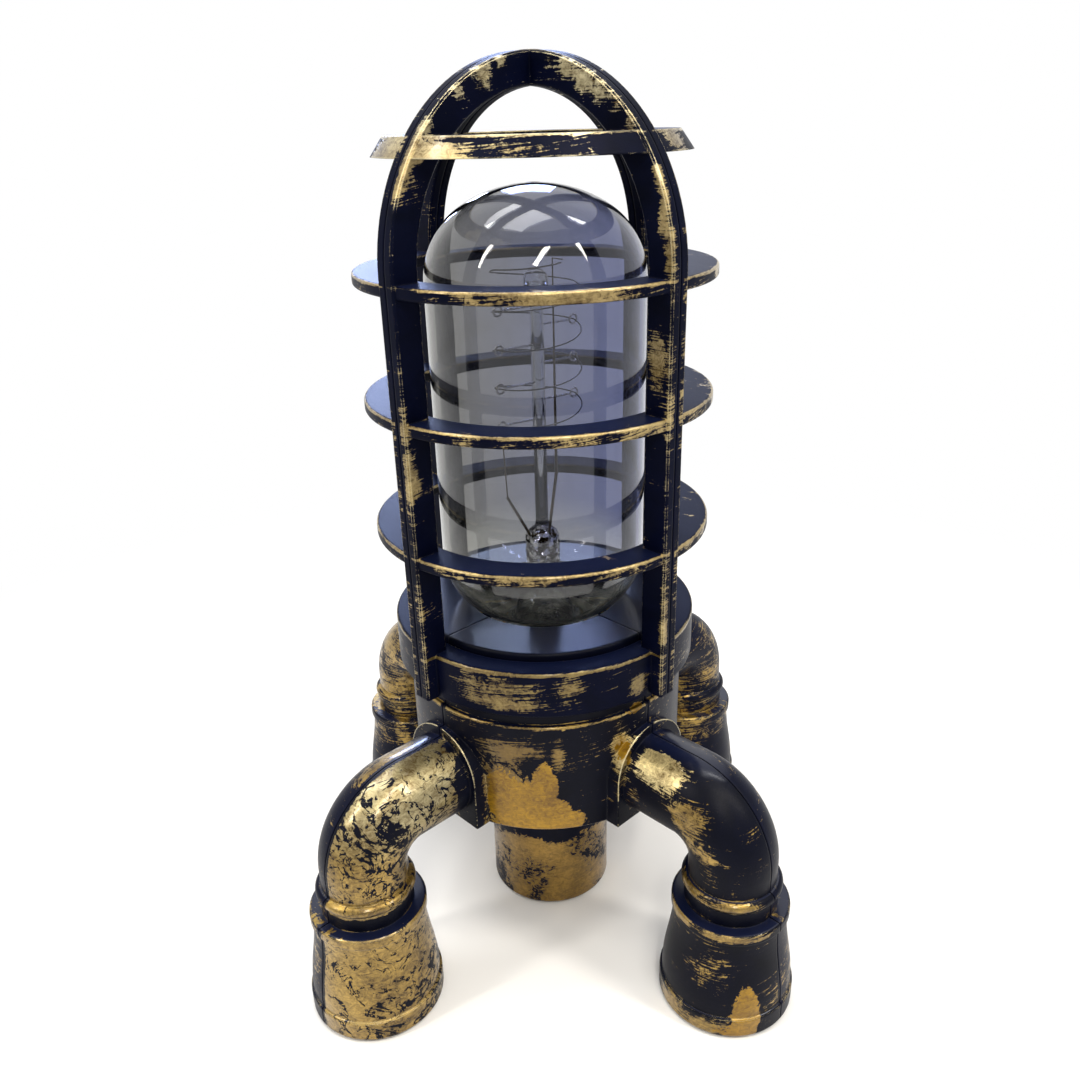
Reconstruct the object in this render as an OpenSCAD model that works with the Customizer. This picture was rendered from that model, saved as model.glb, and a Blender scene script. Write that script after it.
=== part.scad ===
// Rocket-shaped table lamp: a domed bar cage over a clear bulb, on a drum with four elbow-pipe legs.
// The cage and the base are each four equal quarter mouldings, parted through the ribs and the legs.
// The origin lies on the table under the lamp's axis, +Z is up, and the front window faces -Y.

/* [Quarter mouldings] */
// Gap along each parting line between two neighbouring quarters
seam_gap = 0.4; // [0.2:0.1:0.8]
// Wall of the hollow base quarters
wall = 2.4; // [2:0.1:3]
// Rounding of the moulded rims
edge_r = 0.8; // [0.4:0.1:1.2]

/* [Feet] */
// Height of the foot's top face above the table
foot_h = 38.3; // [34:0.1:44]
// Diameter of the rim at the foot's bottom
foot_rim_d = 41.8; // [38:0.1:46]
// Height of that rim
foot_rim_h = 8; // [5:0.1:11]
// How far the rim stands out of the foot's flared side
foot_rim_step = 0.7; // [0.3:0.1:1.2]
// Diameter of the foot's top shoulder
foot_top_d = 36; // [33:0.1:38]
// Depth of the waist under the shoulder
foot_waist = 0.7; // [0.2:0.1:1.2]
// Floor inside the foot
foot_floor = 3; // [2.6:0.1:4]
// Diameter of the rubber pad
pad_d = 31; // [24:0.5:33]
// Thickness of the rubber pad
pad_t = 2.4; // [1.6:0.1:3]
// How far the pad stands below the rim
pad_proud = 0.8; // [0.4:0.1:1.2]

/* [Elbow legs] */
// Distance from the lamp's axis to the foot's axis
leg_reach = 79.2; // [75:0.1:88]
// Outside diameter of the elbow pipe
pipe_d = 26.8; // [23:0.1:28]
// Diameter of the neck between foot and bead
neck_d = 28.4; // [28:0.1:30]
// Height of that neck
neck_h = 5.4; // [3:0.1:8]
// Diameter of the bead at the elbow's end
bead_d = 30.6; // [30:0.1:33]
// Height of the bead
bead_h = 3.8; // [2.6:0.1:5]
// Straight pipe between the bead and the bend
elbow_straight = 5.5; // [0.5:0.1:8]
// Radius of the bend at the middle of the pipe
bend_r = 15.4; // [14.8:0.1:20]
// Width of the arched boss where the pipe leaves the drum
boss_w = 31; // [29:0.1:34]
// Height of the arch's centre above the pipe's axis
boss_rise = 1.2; // [0:0.1:2.5]
// How far the boss stands out of the drum
boss_proud = 1.8; // [1:0.1:4]

/* [Drum] */
// Diameter of the drum
drum_d = 89.8; // [88:0.1:96]
// Height of the drum
drum_h = 38.3; // [35:0.1:46]
// How far the drum's underside lies below the pipe's axis
drum_drop = 14.3; // [13.8:0.1:17]
// Height of the dark groove between drum and cage
groove_h = 6.1; // [4:0.1:9]
// Width of the seat in that groove, under the cage's band
seat_w = 2.1; // [1:0.1:2.4]
// Diameter of the spigot that the cage slips over
spigot_d = 82; // [80:0.1:84]
// How far the deck on the spigot stands above the cage's band
deck_up = 2.2; // [1:0.1:4]
// Clearance round the bulb where it passes the deck
deck_clear = 0.6; // [0.4:0.1:1.5]

/* [Cord inlet] */
// Bore of the grommet for the mains lead
cord_bore_d = 6.4; // [5:0.1:8]
// Diameter of the hole in the drum's back
inlet_hole_d = 10; // [9.6:0.1:12]
// Diameter of the grommet's flanges
grommet_d = 14; // [13:0.1:16]
// Thickness of each flange
grommet_flange_t = 1.6; // [1:0.1:2.4]
// Height of the inlet above the drum's underside
inlet_up = 24; // [20:0.5:26]

/* [Cage] */
// Diameter over the four ribs
cage_d = 104.6; // [102:0.1:110]
// How far the ribs stand proud of the rings
rib_proud = 0.6; // [0.4:0.1:1.2]
// Width of a rib, both halves together
rib_w = 6.2; // [5:0.1:8]
// Depth of a rib towards the axis
rib_depth = 8.4; // [7:0.1:9]
// Chamfer along the rib's edges
rib_chamfer = 0.5; // [0.2:0.1:0.9]
// Straight height of the ribs, from the band's bottom to the dome
rib_straight = 122.7; // [119:0.1:140]
// Depth of a ring towards the axis
ring_depth = 10; // [7:0.1:11]
// Thickness of a ring
ring_t = 3.4; // [2.4:0.1:4.4]
// Top of the lowest ring above the band's bottom
ring_low_up = 46.7; // [40:0.1:54]
// Top of the middle ring above the band's bottom
ring_mid_up = 85.7; // [76:0.1:92]
// Top of the highest ring above the band's bottom
ring_high_up = 121.3; // [110:0.1:122]
// Underside of the crown ring above the dome's springing
crown_ring_up = 27.6; // [24:0.1:32]
// Height of the crown ring
crown_ring_h = 5.1; // [3.5:0.1:6.5]
// Diameter of the cage's bottom band
band_d = 96.8; // [95:0.1:99]
// Height of the band
band_h = 14.5; // [11:0.1:18]
// Clearance between the cage and the spigot
cage_clear = 0.4; // [0.3:0.1:0.6]

/* [Dowels and screws] */
// Diameter of the dowels across the parting lines of the base
base_dowel_d = 1.6; // [1.2:0.1:1.8]
// Length of those dowels
base_dowel_l = 8; // [6:0.5:10]
// Diameter of the dowels across the parting lines of the cage
cage_dowel_d = 2; // [1.4:0.1:2.4]
// Length of those dowels
cage_dowel_l = 4.4; // [3:0.1:4.6]
// Clearance of a dowel or a screw in its hole
pin_clear = 0.05; // [0.02:0.01:0.1]
// Shank diameter of the screws
screw_d = 2.9; // [2.5:0.1:3.2]
// Head diameter of the screws
screw_head_d = 5.4; // [5:0.1:6]
// Head height of the screws
screw_head_h = 1.8; // [1.4:0.1:2.2]

/* [Nozzle] */
// Outside diameter of the nozzle tube
nozzle_d = 41.7; // [38:0.1:44]
// Height of the nozzle's end above the table
nozzle_lift = 0.8; // [0.4:0.1:6]
// Wall of the nozzle
nozzle_wall = 2.4; // [2:0.1:3]
// Rounding of the nozzle's lower edge
nozzle_edge_r = 1.2; // [0.8:0.1:3]
// Diameter of the flange that clamps the four floors
flange_d = 62; // [60:0.5:68]
// Thickness of the flange
flange_t = 6; // [5:0.1:8]
// Clearance of the nozzle in the floors' hole
nozzle_clear = 0.3; // [0.2:0.1:0.6]

/* [Lampholder] */
// Diameter of the holder's foot
holder_foot_d = 54; // [53:0.5:60]
// Thickness of the holder's foot
holder_foot_t = 7; // [6:0.1:9]
// Wall of the holder's barrel
holder_wall = 4; // [3:0.1:5]
// Thickness of the threaded sleeve
sleeve_t = 0.8; // [0.5:0.1:1.2]
// Clearance of the bulb's cap in the sleeve
thread_clear = 0.4; // [0.3:0.1:0.6]
// Distance of the holder's screws from the axis
holder_screw_r = 23.2; // [23:0.1:24]
// Width of a terminal plate
terminal_w = 6; // [5:0.1:7]
// Length of a terminal plate
terminal_l = 5.2; // [4.6:0.1:5.4]
// Thickness of a terminal plate
terminal_t = 1.2; // [0.8:0.1:1.6]

/* [Bulb] */
// Diameter of the glass
bulb_d = 64; // [58:0.5:68]
// Height of the glass above the cap's rim
glass_h = 136; // [120:1:138]
// Thickness of the glass
glass_t = 1; // [0.7:0.1:1.4]
// Radius of the flat crown of the glass
crown_r = 40; // [36:0.5:46]
// Radius of the glass's shoulder under the crown
shoulder_r = 24; // [20:0.5:27]
// Radius of the bowl at the glass's lower end
bowl_r = 20; // [18:0.5:22]
// Height of the bowl's centre above the cap's rim
bowl_up = 26.2; // [24:0.1:28]
// How far the cap's rim lies below the deck
cap_drop = 10; // [8:0.1:12]
// Diameter of the cap over its thread
cap_d = 26.2; // [25.6:0.1:26.6]
// Height of the cap
cap_h = 22.5; // [20:0.1:25]
// Thickness of the cap's sheet
cap_t = 0.6; // [0.4:0.1:0.8]
// Pitch of the thread
thread_pitch = 3.629; // [3.2:0.001:4]
// Depth of the thread
thread_depth = 0.7; // [0.4:0.1:0.9]
// Diameter of the contact at the cap's bottom
tip_d = 9; // [7:0.1:10]
// Height of the black insulator between cap and contact
insulator_h = 3.4; // [2.6:0.1:4.2]
// Height of the contact below the insulator
tip_h = 1.4; // [1:0.1:2]
// Gap between the bulb's contact and the holder's
contact_gap = 0.1; // [0.05:0.01:0.2]
// Diameter of the glass press that holds the wires
press_d = 11; // [9:0.1:13]
// Height of the press's top above the cap's rim
press_up = 32; // [29:0.5:36]
// Diameter of the glass rod
rod_d = 5; // [3.5:0.1:6]
// Diameter of the button on top of the rod
button_d = 7.4; // [6.6:0.1:9]
// Height of the button's middle above the cap's rim
button_up = 112; // [108:0.5:115]
// Radius of the filament's spiral
spiral_r = 13.5; // [10:0.1:17]
// Start of the spiral above the cap's rim
spiral_up = 69; // [62:0.5:72]
// Rise of the spiral in one turn
spiral_pitch = 11.2; // [9:0.1:11.6]
// Turns of the spiral
spiral_turns = 4.25; // [2.25:1:4.25]
// Distance of the long lead wire from the axis
lead_r = 5.5; // [4.5:0.1:7]
// Diameter of the hooks and lead wires
wire_d = 0.6; // [0.4:0.1:0.8]
// Diameter of the filament
filament_d = 0.4; // [0.3:0.05:0.5]

/* [Hidden] */
$fn = 96;

// Finishes
navy_plastic = "#171a2c";
gold_paint = "#a8843a";
brass = "#b99a4b";
steel = "#a9adb3";
black_rubber = "#1b1b1d";
clear_glass = "#d8e4ea";

// The four quarters and the four legs
front = 0;
right = 90;
rear = 180;
left = 270;
leg_turns = [45, 135, 225, 315];
leg_of_quarter = [-45, -135];

// How far a cut runs past the face that it leaves by
cut_over = 1;

// Heights from the table upwards
bead_z = foot_h + neck_h;
bend_z = bead_z + bead_h + elbow_straight;
pipe_z = bend_z + bend_r;
drum_z = pipe_z - drum_drop;
floor_z = drum_z + wall;
drum_top_z = drum_z + drum_h;
cage_z = drum_top_z + groove_h;
band_top_z = cage_z + band_h;
deck_z = band_top_z + deck_up;
dome_z = cage_z + rib_straight;
top_z = dome_z + cage_d / 2;

// Radii of the base
drum_r = drum_d / 2;
spigot_r = spigot_d / 2;
band_in = spigot_r + cage_clear;
groove_r = band_in + seat_w;
pipe_r = pipe_d / 2;
bore_r = pipe_r - wall;
bend_x = leg_reach - bend_r;
boss_x = drum_r + boss_proud;
boss_start = drum_r - 2 * wall;
boss_z = pipe_z + boss_rise;
foot_rim_r = foot_rim_d / 2;
foot_top_r = foot_top_d / 2;
foot_waist_r = foot_top_r - foot_waist;
neck_r = neck_d / 2;
bead_r = bead_d / 2;
pad_clear = 0.2;

// Outline of a foot: the shoulder's underside, and the S-shaped flare from the waist down to the rim
shoulder_h = 3.2;
shoulder_z = foot_h - shoulder_h;
waist_z = shoulder_z - foot_waist;
flare_foot_r = foot_rim_r - foot_rim_step;
flare_steps = 14;

// Radii of the cage
rib_out = cage_d / 2;
rib_in = rib_out - rib_depth;
ring_r = rib_out - rib_proud;
band_r = band_d / 2;
ring_zs = [for (up = [ring_low_up, ring_mid_up, ring_high_up]) cage_z + up - ring_t];
crown_ring_z = dome_z + crown_ring_up;

// Dowels of the base: one in the neck under the cage, one in each foot's floor
neck_dowel_r = (spigot_r - wall + groove_r) / 2;
neck_dowel_z = cage_z - groove_h / 2;
foot_dowel_x = leg_reach + pad_d / 4;
foot_dowel_z = pad_t + foot_floor / 2;
// Dowels of the cage: one low and one high in each rib
cage_dowel_r = (rib_in + rib_out) / 2;
cage_dowel_zs = [cage_z + band_h / 2, cage_z + (ring_low_up + ring_mid_up) / 2];

// Nozzle and its screws
nozzle_r = nozzle_d / 2;
nozzle_bore_r = nozzle_r - nozzle_wall;
floor_hole_r = nozzle_r + nozzle_clear;
flange_r = flange_d / 2;
flange_z = floor_z + flange_t;
screw_r = screw_d / 2;
screw_head_r = screw_head_d / 2;
screw_hole_clear = 0.3;
screw_end_gap = 1;
floor_screw_r = (floor_hole_r + flange_r) / 2;
floor_screw_l = wall + flange_t - screw_end_gap;
floor_screw_turns = [0, 90, 180, 270];

// Bulb
bulb_r = bulb_d / 2;
cap_rim_z = deck_z - cap_drop;
bowl_z = cap_rim_z + bowl_up;
bowl_x = bulb_r - bowl_r;
bowl_end = -70;
glass_top_z = cap_rim_z + glass_h;
crown_z = glass_top_z - crown_r;
shoulder_x = bulb_r - shoulder_r;
glass_shoulder_z = crown_z + sqrt(pow(crown_r - shoulder_r, 2) - pow(shoulder_x, 2));
shoulder_end = atan2(glass_shoulder_z - crown_z, shoulder_x);
cap_r = cap_d / 2;
cap_in = cap_r - thread_depth - cap_t;
cap_skirt = 4.5;
cap_hem = 0.4;
cap_cover = 3.6;
glass_neck_r = cap_in - pin_clear;
glass_neck_z = cap_rim_z + cap_hem;
cap_z = cap_rim_z - cap_h;
thread_turns = floor((cap_h - cap_skirt) / thread_pitch);
thread_steps = 8;
insulator_z = cap_z - insulator_h;
insulator_lip = 0.6;
insulator_in = 2;
tip_r = tip_d / 2;
tip_z = insulator_z - tip_h;
tip_edge = 0.3;
press_r = press_d / 2;
press_z = cap_rim_z + press_up;
press_h = 10;
press_foot_z = press_z - press_h;
press_shoulder = 2;
stem_flare_h = 4;
stem_flare_z = press_foot_z - stem_flare_h;
rod_r = rod_d / 2;
button_r = button_d / 2;
button_z = cap_rim_z + button_up;
wire_r = wire_d / 2;
lead_sink = 4;
lead_rise = 8;
lead_foot_z = press_z - lead_sink;
lead_bend_z = press_z + lead_rise;
// The spiral starts at the front left, and a hook meets it at every half turn that the rod reaches
spiral_z = cap_rim_z + spiral_up;
spiral_start = 215;
spiral_steps = 24;
spiral_end = spiral_start + 360 * spiral_turns;
hook_count = floor(2 * min(spiral_turns, (button_z - spiral_z) / spiral_pitch));
tube_sides = 6;

// Radius of the glass's outside at a height on its bowl
function bowl_r_at(z) = bowl_x + sqrt(pow(bowl_r, 2) - pow(bowl_z - z, 2));
deck_hole_r = bowl_r_at(deck_z) + deck_clear;

// Lampholder
sleeve_in = cap_r + thread_clear;
sleeve_out = sleeve_in + sleeve_t;
holder_bore_r = sleeve_out + pin_clear;
barrel_r = holder_bore_r + holder_wall;
contact_h = 1.6;
contact_room = 2;
rim_gap = 1;
sleeve_drop = 1;
holder_floor_z = tip_z - contact_gap - contact_h;
holder_foot_z = flange_z + holder_foot_t;
holder_rim_z = cap_rim_z - rim_gap;
sleeve_rim_z = holder_rim_z - sleeve_drop;
sleeve_hole_r = tip_r + contact_room;
holder_foot_r = holder_foot_d / 2;
holder_screw_turns = [45, 225];
terminal_turns = [135, 315];
holder_screw_l = holder_foot_t + flange_t - screw_end_gap;
terminal_screw_r = 1.2;
terminal_screw_l = terminal_t + holder_foot_t / 2;

// Cord inlet at the back of the drum
inlet_z = drum_z + inlet_up;
inlet_hole_r = inlet_hole_d / 2;
grommet_r = grommet_d / 2;
cord_bore_r = cord_bore_d / 2;
inlet_boss_edge = 1.4;
inlet_proud = 0.9;
inlet_boss_r = grommet_r + inlet_boss_edge;
inlet_out_y = drum_r + inlet_proud;
inlet_in_y = sqrt(pow(drum_r - wall, 2) - pow(grommet_r, 2)) - pin_clear;

// Points of an arc round c, from angle a0 to a1
function arc(c, r, a0, a1, n = 6) = [
    for (i = [0:n]) let (a = a0 + (a1 - a0) * i / n) c + r * [cos(a), sin(a)]];
// Rectangle in radius and height with rounded corners
function soft_box(x0, x1, z0, z1, e) = concat(
    arc([x1 - e, z0 + e], e, -90, 0), arc([x1 - e, z1 - e], e, 0, 90),
    arc([x0 + e, z1 - e], e, 90, 180), arc([x0 + e, z0 + e], e, 180, 270));
// List in reverse order
function reversed(list) = [for (i = [len(list) - 1:-1:0]) list[i]];

// The space of the front quarter, held back from its parting planes by half the seam
module quarter_space() {
    span = 2 * (leg_reach + foot_rim_r);
    rotate(-90) translate([seam_gap / sqrt(2), 0, -cut_over])
        linear_extrude(top_z + 2 * cut_over) polygon([[0, 0], [span, -span], [span, span]]);
}

// A dowel across a parting plane, at a radius and a height
module dowel(x, z, d, l) {
    translate([x, l / 2, z]) rotate([90, 0, 0]) cylinder(d = d, h = l, $fn = 32);
}

// A pan-head screw along +Z, with its head's underside at the origin
module screw(r, l, head_r, head_h) {
    rotate_extrude($fn = 48) polygon(concat([[0, l], [0, -head_h]],
        arc([head_r - head_h / 2, -head_h / 2], head_h / 2, -90, 0),
        [[head_r, 0], [r, 0], [r, l - r], [r / 3, l]]));
}

// Base quarters
module drum_solid() {
    rotate_extrude() polygon(concat([[0, drum_z]],
        arc([drum_r - edge_r, drum_z + edge_r], edge_r, -90, 0),
        arc([drum_r - edge_r, drum_top_z - edge_r], edge_r, 0, 90),
        [[groove_r, drum_top_z], [groove_r, cage_z], [spigot_r, cage_z]],
        arc([spigot_r - edge_r, deck_z - edge_r], edge_r, 0, 90),
        [[0, deck_z]]));
}

module drum_cavity() {
    rotate_extrude() polygon([
        [0, floor_z], [drum_r - wall, floor_z], [drum_r - wall, drum_top_z - wall],
        [spigot_r - wall, drum_top_z - wall], [spigot_r - wall, deck_z - wall], [0, deck_z - wall]]);
}

function foot_outline() = concat(
    [[0, pad_proud]],
    arc([foot_rim_r - edge_r, pad_proud + edge_r], edge_r, -90, 0, 3),
    arc([foot_rim_r - edge_r, foot_rim_h - edge_r], edge_r, 0, 90, 3),
    [for (i = [0:flare_steps]) let (t = i / flare_steps)
        [foot_waist_r + (flare_foot_r - foot_waist_r) * (1 + cos(180 * t)) / 2,
         foot_rim_h + (waist_z - foot_rim_h) * t]],
    [[foot_top_r, shoulder_z]],
    arc([foot_top_r - edge_r, foot_h - edge_r], edge_r, 0, 90, 4),
    [[neck_r, foot_h], [neck_r, bead_z]],
    arc([bead_r - bead_h / 2, bead_z + bead_h / 2], bead_h / 2, -90, 90, 10),
    [[pipe_r, bead_z + bead_h], [pipe_r, bend_z], [0, bend_z]]);

function foot_cavity() = [
    [0, pad_t + foot_floor], [flare_foot_r - wall, pad_t + foot_floor], [flare_foot_r - wall, foot_rim_h],
    [foot_waist_r - wall, waist_z], [foot_waist_r - wall, foot_h - wall], [bore_r, foot_h - wall],
    [bore_r, bend_z], [0, bend_z]];

module boss_outline() {
    translate([0, boss_z]) circle(d = boss_w);
    translate([-boss_w / 2, drum_z]) square([boss_w, boss_z - drum_z]);
}

module elbow(r, start_x) {
    translate([start_x, 0, pipe_z]) rotate([0, 90, 0]) cylinder(r = r, h = bend_x - start_x);
    translate([bend_x, 0, bend_z]) rotate([90, 0, 0])
        rotate_extrude(angle = 90) translate([bend_r, 0]) circle(r);
}

module leg_solid() {
    translate([boss_start, 0, 0]) rotate([90, 0, 90]) linear_extrude(boss_x - boss_start) boss_outline();
    elbow(pipe_r, boss_start);
    translate([leg_reach, 0, 0]) rotate_extrude() polygon(foot_outline());
}

module leg_cavity() {
    elbow(bore_r, boss_start);
    translate([leg_reach, 0, 0]) {
        rotate_extrude() polygon(foot_cavity());
        translate([0, 0, -cut_over]) cylinder(d = pad_d + 2 * pad_clear, h = pad_t + cut_over);
    }
    dowel(neck_dowel_r, neck_dowel_z, base_dowel_d + 2 * pin_clear, base_dowel_l + 2 * pin_clear);
    dowel(foot_dowel_x, foot_dowel_z, base_dowel_d + 2 * pin_clear, base_dowel_l + 2 * pin_clear);
}

module deck_and_floor_holes() {
    cut_h = wall + 2 * cut_over;
    translate([0, 0, deck_z - wall - cut_over]) cylinder(r = deck_hole_r, h = cut_h);
    translate([0, 0, drum_z - cut_over]) cylinder(r = floor_hole_r, h = cut_h);
    translate([0, -floor_screw_r, drum_z - cut_over])
        cylinder(r = screw_r + screw_hole_clear, h = cut_h, $fn = 32);
}

// A quarter of the base, with what is added to its drum and what is drilled from it
module base_quarter() {
    color(navy_plastic) intersection() {
        quarter_space();
        difference() {
            union() {
                drum_solid();
                for (a = leg_of_quarter) rotate(a) leg_solid();
                children(0);
            }
            drum_cavity();
            for (a = leg_of_quarter) rotate(a) leg_cavity();
            deck_and_floor_holes();
            children(1);
        }
    }
}

// A round rod outwards through the front of the drum's wall, up to a distance from the axis
module wall_rod(r, end_y) {
    start_y = drum_r - 2 * wall;
    translate([0, -start_y, inlet_z]) rotate([90, 0, 0]) cylinder(r = r, h = end_y - start_y, $fn = 64);
}

module base_front() {
    rotate(front) base_quarter();
}

module base_right() {
    rotate(right) base_quarter();
}

module base_rear() {
    rotate(rear) base_quarter() {
        wall_rod(inlet_boss_r, inlet_out_y);
        wall_rod(inlet_hole_r, inlet_out_y + cut_over);
    }
}

module base_left() {
    rotate(left) base_quarter();
}

// Cage quarters
module rib_section() {
    h = rib_w / 2;
    c = rib_chamfer;
    polygon([
        [rib_in + c, -h], [rib_out - c, -h], [rib_out, c - h], [rib_out, h - c],
        [rib_out - c, h], [rib_in + c, h], [rib_in, h - c], [rib_in, c - h]]);
}

// The rib's root reaches into the band, however far out the rib stands
module rib() {
    root_in = (band_in + band_r) / 2;
    translate([root_in, -rib_w / 2 + rib_chamfer, cage_z])
        cube([rib_out - rib_chamfer - root_in, rib_w - 2 * rib_chamfer, band_h - edge_r]);
    translate([0, 0, cage_z]) linear_extrude(rib_straight) rib_section();
    translate([0, 0, dome_z]) rotate([90, 0, 0]) rotate_extrude(angle = 90) rib_section();
}

module rings() {
    for (z = ring_zs)
        rotate_extrude() polygon(soft_box(ring_r - ring_depth, ring_r, z, z + ring_t, edge_r));
}

// The crown ring leans in with the dome
function dome_r_at(z) = sqrt(pow(ring_r, 2) - pow(z - dome_z, 2));

module crown_ring() {
    low = crown_ring_z;
    high = crown_ring_z + crown_ring_h;
    rotate_extrude() polygon([
        [dome_r_at(low) - rib_depth, low], [dome_r_at(low), low],
        [dome_r_at(high), high], [dome_r_at(high) - rib_depth, high]]);
}

module band() {
    rotate_extrude() polygon(concat(
        [[band_in, cage_z], [band_r, cage_z]],
        arc([band_r - edge_r, band_top_z - edge_r], edge_r, 0, 90),
        [[band_in, band_top_z]]));
}

module cage_quarter() {
    color(navy_plastic) intersection() {
        quarter_space();
        difference() {
            union() {
                rings();
                crown_ring();
                band();
                for (a = leg_of_quarter) rotate(a) rib();
            }
            for (a = leg_of_quarter, z = cage_dowel_zs)
                rotate(a) dowel(cage_dowel_r, z, cage_dowel_d + 2 * pin_clear, cage_dowel_l + 2 * pin_clear);
        }
    }
}

module cage_front() {
    rotate(front) cage_quarter();
}

module cage_right() {
    rotate(right) cage_quarter();
}

module cage_rear() {
    rotate(rear) cage_quarter();
}

module cage_left() {
    rotate(left) cage_quarter();
}

// Dowels, pads and the nozzle
module base_dowels() {
    color(steel) for (a = leg_turns) rotate(a) {
        dowel(neck_dowel_r, neck_dowel_z, base_dowel_d, base_dowel_l);
        dowel(foot_dowel_x, foot_dowel_z, base_dowel_d, base_dowel_l);
    }
}

module cage_dowels() {
    color(steel) for (a = leg_turns, z = cage_dowel_zs)
        rotate(a) dowel(cage_dowel_r, z, cage_dowel_d, cage_dowel_l);
}

module foot_pads() {
    color(black_rubber) for (a = leg_turns) rotate(a)
        translate([leg_reach, 0, 0]) cylinder(d = pad_d, h = pad_t);
}

module flange_hole(x) {
    translate([x, 0, floor_z - cut_over])
        cylinder(r = screw_r + pin_clear, h = flange_t + 2 * cut_over, $fn = 32);
}

module nozzle() {
    color(gold_paint) difference() {
        rotate_extrude() polygon(concat(
            [[0, nozzle_lift]],
            arc([nozzle_r - nozzle_edge_r, nozzle_lift + nozzle_edge_r], nozzle_edge_r, -90, 0),
            [[nozzle_r, floor_z], [flange_r, floor_z], [flange_r, flange_z], [nozzle_bore_r, flange_z],
             [nozzle_bore_r, nozzle_lift + nozzle_wall], [0, nozzle_lift + nozzle_wall]]));
        for (a = floor_screw_turns) rotate(a) flange_hole(floor_screw_r);
        for (a = holder_screw_turns) rotate(a) flange_hole(holder_screw_r);
    }
}

module nozzle_screws() {
    color(steel) for (a = floor_screw_turns) rotate(a) translate([floor_screw_r, 0, drum_z])
        screw(screw_r, floor_screw_l, screw_head_r, screw_head_h);
}

module cord_grommet() {
    neck_grip_r = inlet_hole_r - pin_clear;
    outer_y = inlet_out_y + grommet_flange_t;
    inner_y = inlet_in_y - grommet_flange_t;
    color(black_rubber) translate([0, 0, inlet_z]) rotate([-90, 0, 0])
        rotate_extrude($fn = 64) polygon(concat(
        [[cord_bore_r, inner_y], [grommet_r, inner_y], [grommet_r, inlet_in_y], [neck_grip_r, inlet_in_y],
         [neck_grip_r, inlet_out_y], [grommet_r, inlet_out_y]],
        arc([grommet_r - grommet_flange_t / 2, outer_y - grommet_flange_t / 2], grommet_flange_t / 2, 0, 90),
        [[cord_bore_r, outer_y]]));
}

// Lampholder
module holder_body() {
    color("#e9e4d8") difference() {
        rotate_extrude() polygon([
            [0, flange_z], [holder_foot_r, flange_z], [holder_foot_r, holder_foot_z],
            [barrel_r, holder_foot_z], [barrel_r, holder_rim_z], [holder_bore_r, holder_rim_z],
            [holder_bore_r, holder_floor_z], [0, holder_floor_z]]);
        for (a = holder_screw_turns) rotate(a) translate([holder_screw_r, 0, flange_z - cut_over])
            cylinder(r = screw_r + screw_hole_clear, h = holder_foot_t + 2 * cut_over, $fn = 32);
        for (a = terminal_turns) rotate(a)
            translate([holder_screw_r, 0, holder_foot_z + terminal_t - terminal_screw_l - pin_clear])
                cylinder(r = terminal_screw_r + pin_clear, h = terminal_screw_l, $fn = 32);
    }
}

module holder_sleeve() {
    color(brass) rotate_extrude() polygon([
        [sleeve_hole_r, holder_floor_z], [sleeve_out, holder_floor_z], [sleeve_out, sleeve_rim_z],
        [sleeve_in, sleeve_rim_z], [sleeve_in, holder_floor_z + sleeve_t],
        [sleeve_hole_r, holder_floor_z + sleeve_t]]);
}

module holder_contact() {
    spring_t = contact_h / 2;
    color(brass) rotate_extrude($fn = 64) polygon([
        [0, holder_floor_z], [tip_r, holder_floor_z], [tip_r, holder_floor_z + spring_t],
        [tip_r / 2, holder_floor_z + contact_h], [0, holder_floor_z + contact_h]]);
}

module holder_screws() {
    color(steel) for (a = holder_screw_turns) rotate(a) translate([holder_screw_r, 0, holder_foot_z])
        mirror([0, 0, 1]) screw(screw_r, holder_screw_l, screw_head_r, screw_head_h);
}

module terminals() {
    hole_r = terminal_screw_r + pin_clear;
    color(brass) for (a = terminal_turns) rotate(a)
        translate([holder_screw_r, 0, holder_foot_z]) difference() {
            translate([-terminal_l / 2, -terminal_w / 2, 0]) cube([terminal_l, terminal_w, terminal_t]);
            translate([0, 0, -cut_over]) cylinder(r = hole_r, h = terminal_t + 2 * cut_over, $fn = 32);
        }
}

module terminal_screws() {
    color(steel) for (a = terminal_turns) rotate(a) translate([holder_screw_r, 0, holder_foot_z + terminal_t])
        mirror([0, 0, 1]) screw(terminal_screw_r, terminal_screw_l, 2 * terminal_screw_r, screw_head_h);
}

// Bulb
function glass_outline(inset) = concat(
    [[glass_neck_r - inset, cap_rim_z - cap_cover], [glass_neck_r - inset, glass_neck_z]],
    arc([bowl_x, bowl_z], bowl_r - inset, bowl_end, 0, 14),
    arc([shoulder_x, glass_shoulder_z], shoulder_r - inset, 0, shoulder_end, 12),
    arc([0, crown_z], crown_r - inset, shoulder_end, 90, 8));

module bulb_glass() {
    color(clear_glass, 0.3) rotate_extrude()
        polygon(concat(glass_outline(0), reversed(glass_outline(glass_t))));
}

// The cap's thread, drawn as rings of the thread's pitch
function thread_line(r) = [for (i = [0:thread_steps * thread_turns]) let (turn = i / thread_steps)
    [r - thread_depth * (1 + cos(360 * turn)) / 2, cap_z + turn * thread_pitch]];

module bulb_cap() {
    color(steel) rotate_extrude() polygon(concat(
        thread_line(cap_r),
        [[cap_r, cap_rim_z - cap_skirt], [cap_r, cap_rim_z - cap_hem], [cap_r - cap_hem, cap_rim_z],
         [cap_in, cap_rim_z], [cap_in, cap_z]]));
}

module bulb_insulator() {
    fit_r = cap_in - pin_clear;
    color("#101012") rotate_extrude($fn = 64) polygon([
        [0, insulator_z], [tip_r, insulator_z], [fit_r, cap_z - insulator_lip],
        [fit_r, cap_z + insulator_in], [0, cap_z + insulator_in]]);
}

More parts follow.
